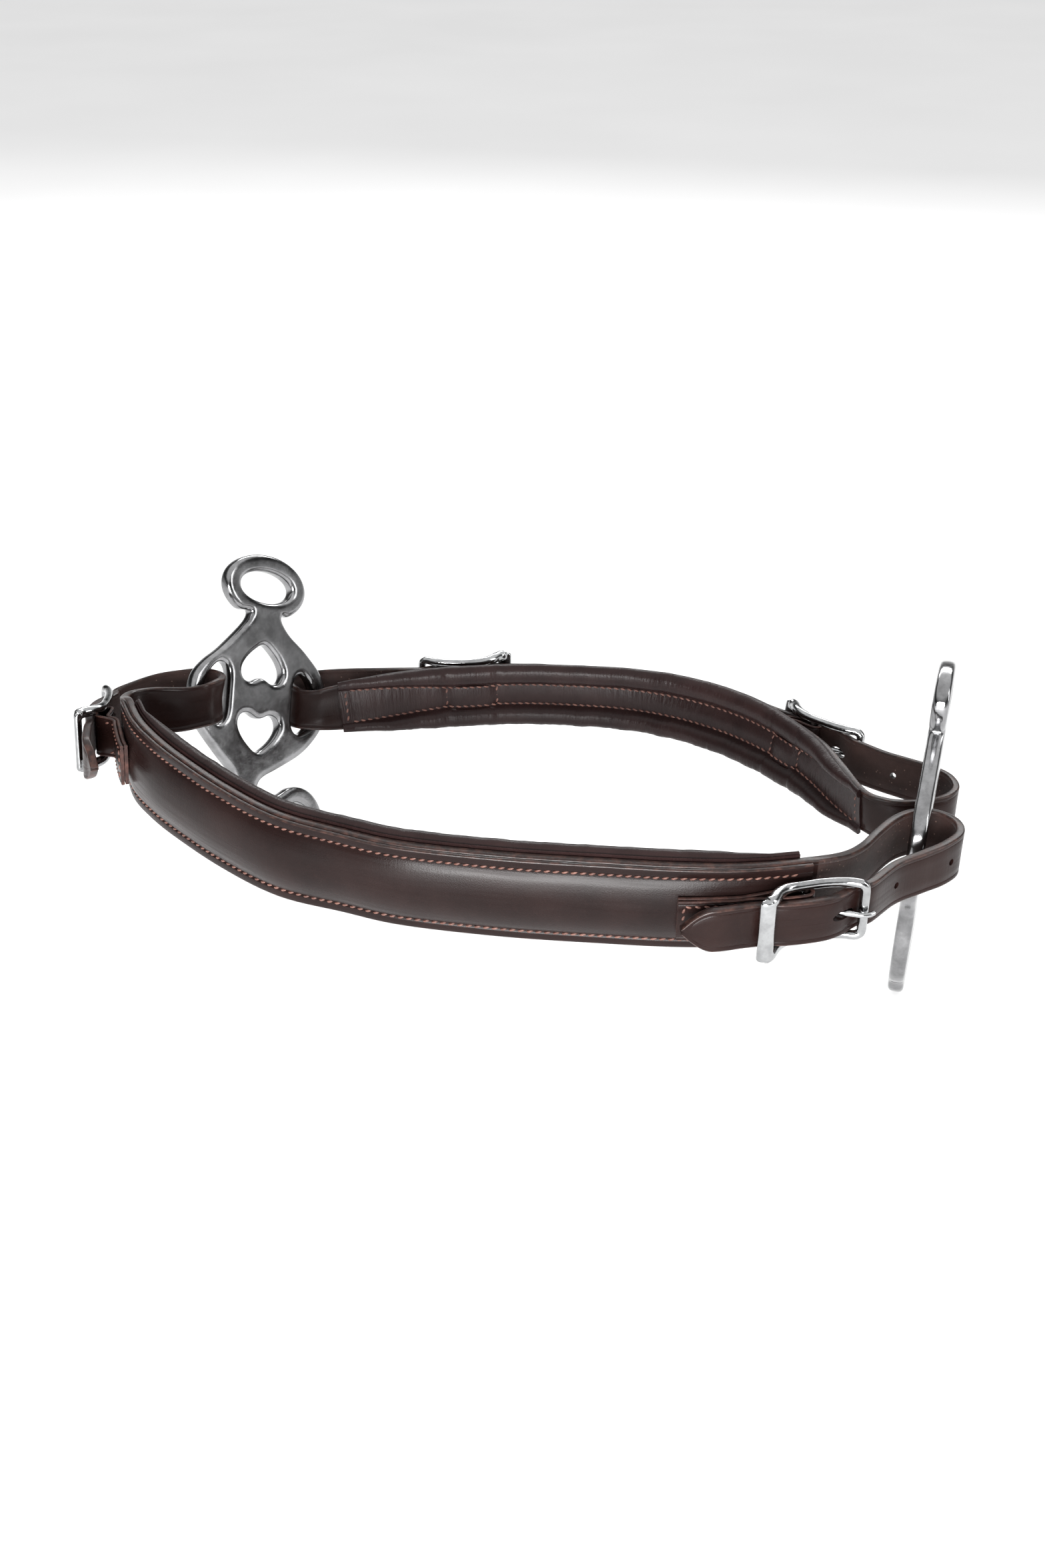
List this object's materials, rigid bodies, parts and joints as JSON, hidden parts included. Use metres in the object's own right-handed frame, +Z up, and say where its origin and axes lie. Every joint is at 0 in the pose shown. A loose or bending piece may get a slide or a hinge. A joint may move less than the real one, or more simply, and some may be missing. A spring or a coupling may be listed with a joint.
{
  "type": "bitless bridle hackamore noseband set",
  "caption": "Padded leather noseband and chin strap joined by cast steel cheek plates with heart cut-outs, cheekpiece rings and rein rings; each strap end is buckled round a plate bar.",
  "frame": {"origin": "under the middle of the set's box, on the floor", "axes": "+X runs across the noseband from the left cheek plate to the right one, -Y is the front of the nose, +Z is up along the face"},
  "size_m": [0.377, 0.2529, 0.1493],
  "materials": {
    "cast_steel": "polished cast stainless steel",
    "buckle_steel": "polished stainless steel",
    "brown_leather": "dark brown bridle leather, waxed",
    "soft_lining_leather": "soft matt lining leather",
    "felt_padding": "felt or foam, hidden inside the leather"
  },
  "bodies": {
    "noseband": {"noseband_strap": "brown_leather", "noseband_face": "brown_leather", "noseband_filler": "felt_padding", "noseband_lining": "soft_lining_leather", "noseband_padding": "felt_padding", "left_nose_buckle_chape": "brown_leather", "right_nose_buckle_chape": "brown_leather"},
    "left_cheek": {"left_cheek_plate": "cast_steel"},
    "right_cheek": {"right_cheek_plate": "cast_steel"},
    "chin": {"chin_strap": "brown_leather", "chin_lining": "soft_lining_leather", "chin_upper_padding": "felt_padding", "chin_lower_padding": "felt_padding", "left_chin_buckle_chape": "brown_leather", "right_chin_buckle_chape": "brown_leather"},
    "left_nose_buckle": {"left_nose_buckle_frame": "buckle_steel"},
    "left_nose_tongue": {"left_nose_buckle_tongue": "buckle_steel"},
    "right_nose_buckle": {"right_nose_buckle_frame": "buckle_steel"},
    "right_nose_tongue": {"right_nose_buckle_tongue": "buckle_steel"},
    "left_chin_buckle": {"left_chin_buckle_frame": "buckle_steel"},
    "left_chin_tongue": {"left_chin_buckle_tongue": "buckle_steel"},
    "right_chin_buckle": {"right_chin_buckle_frame": "buckle_steel"},
    "right_chin_tongue": {"right_chin_buckle_tongue": "buckle_steel"}
  },
  "joints": [
    {"name": "left_cheek_swing", "type": "hinge", "parent": "noseband", "child": "left_cheek", "pos_m": [-0.14374, 0.06114, 0.09654], "axis": [0.065, 0.5454, 0.8356], "range_deg": [-1, 6]},
    {"name": "right_cheek_swing", "type": "hinge", "parent": "noseband", "child": "right_cheek", "pos_m": [0.15683, -0.06599, 0.09649], "axis": [0.1182, 0.3155, 0.9415], "range_deg": [-1, 6]},
    {"name": "chin_swing", "type": "hinge", "parent": "left_cheek", "child": "chin", "pos_m": [-0.09444, 0.10312, 0.0653], "axis": [0.065, 0.5454, 0.8356], "range_deg": [-7, 2]},
    {"name": "left_nose_buckle_rock", "type": "hinge", "parent": "noseband", "child": "left_nose_buckle", "pos_m": [-0.17839, 0.03593, 0.09042], "axis": [0.0296, 0.156, 0.9873], "range_deg": [-1, 1]},
    {"name": "left_nose_tongue_lift", "type": "hinge", "parent": "left_nose_buckle", "child": "left_nose_tongue", "pos_m": [-0.17839, 0.03593, 0.09042], "axis": [0.0296, 0.156, 0.9873], "range_deg": [0, 3]},
    {"name": "right_nose_buckle_rock", "type": "hinge", "parent": "noseband", "child": "right_nose_buckle", "pos_m": [0.10641, -0.11197, 0.09352], "axis": [-0.0023, 0.0091, -1], "range_deg": [-1, 1]},
    {"name": "right_nose_tongue_lift", "type": "hinge", "parent": "right_nose_buckle", "child": "right_nose_tongue", "pos_m": [0.10641, -0.11197, 0.09352], "axis": [-0.0023, 0.0091, -1], "range_deg": [0, 3]},
    {"name": "left_chin_buckle_rock", "type": "hinge", "parent": "chin", "child": "left_chin_buckle", "pos_m": [-0.02259, 0.11483, 0.07142], "axis": [0.001, -0.0499, -0.9988], "range_deg": [-1, 1]},
    {"name": "left_chin_tongue_lift", "type": "hinge", "parent": "left_chin_buckle", "child": "left_chin_tongue", "pos_m": [-0.02259, 0.11483, 0.07142], "axis": [0.001, -0.0499, -0.9988], "range_deg": [0, 3]},
    {"name": "right_chin_buckle_rock", "type": "hinge", "parent": "chin", "child": "right_chin_buckle", "pos_m": [0.13241, 0.05113, 0.07442], "axis": [0.1379, 0.1567, 0.978], "range_deg": [-1, 1]},
    {"name": "right_chin_tongue_lift", "type": "hinge", "parent": "right_chin_buckle", "child": "right_chin_tongue", "pos_m": [0.13241, 0.05113, 0.07442], "axis": [0.1379, 0.1567, 0.978], "range_deg": [0, 3]}
  ],
  "couplings": [
    {"joint": "chin_swing", "follows": "left_cheek_swing", "ratio": -1.1123},
    {"joint": "right_cheek_swing", "follows": "left_cheek_swing", "ratio": 0.9023}
  ]
}
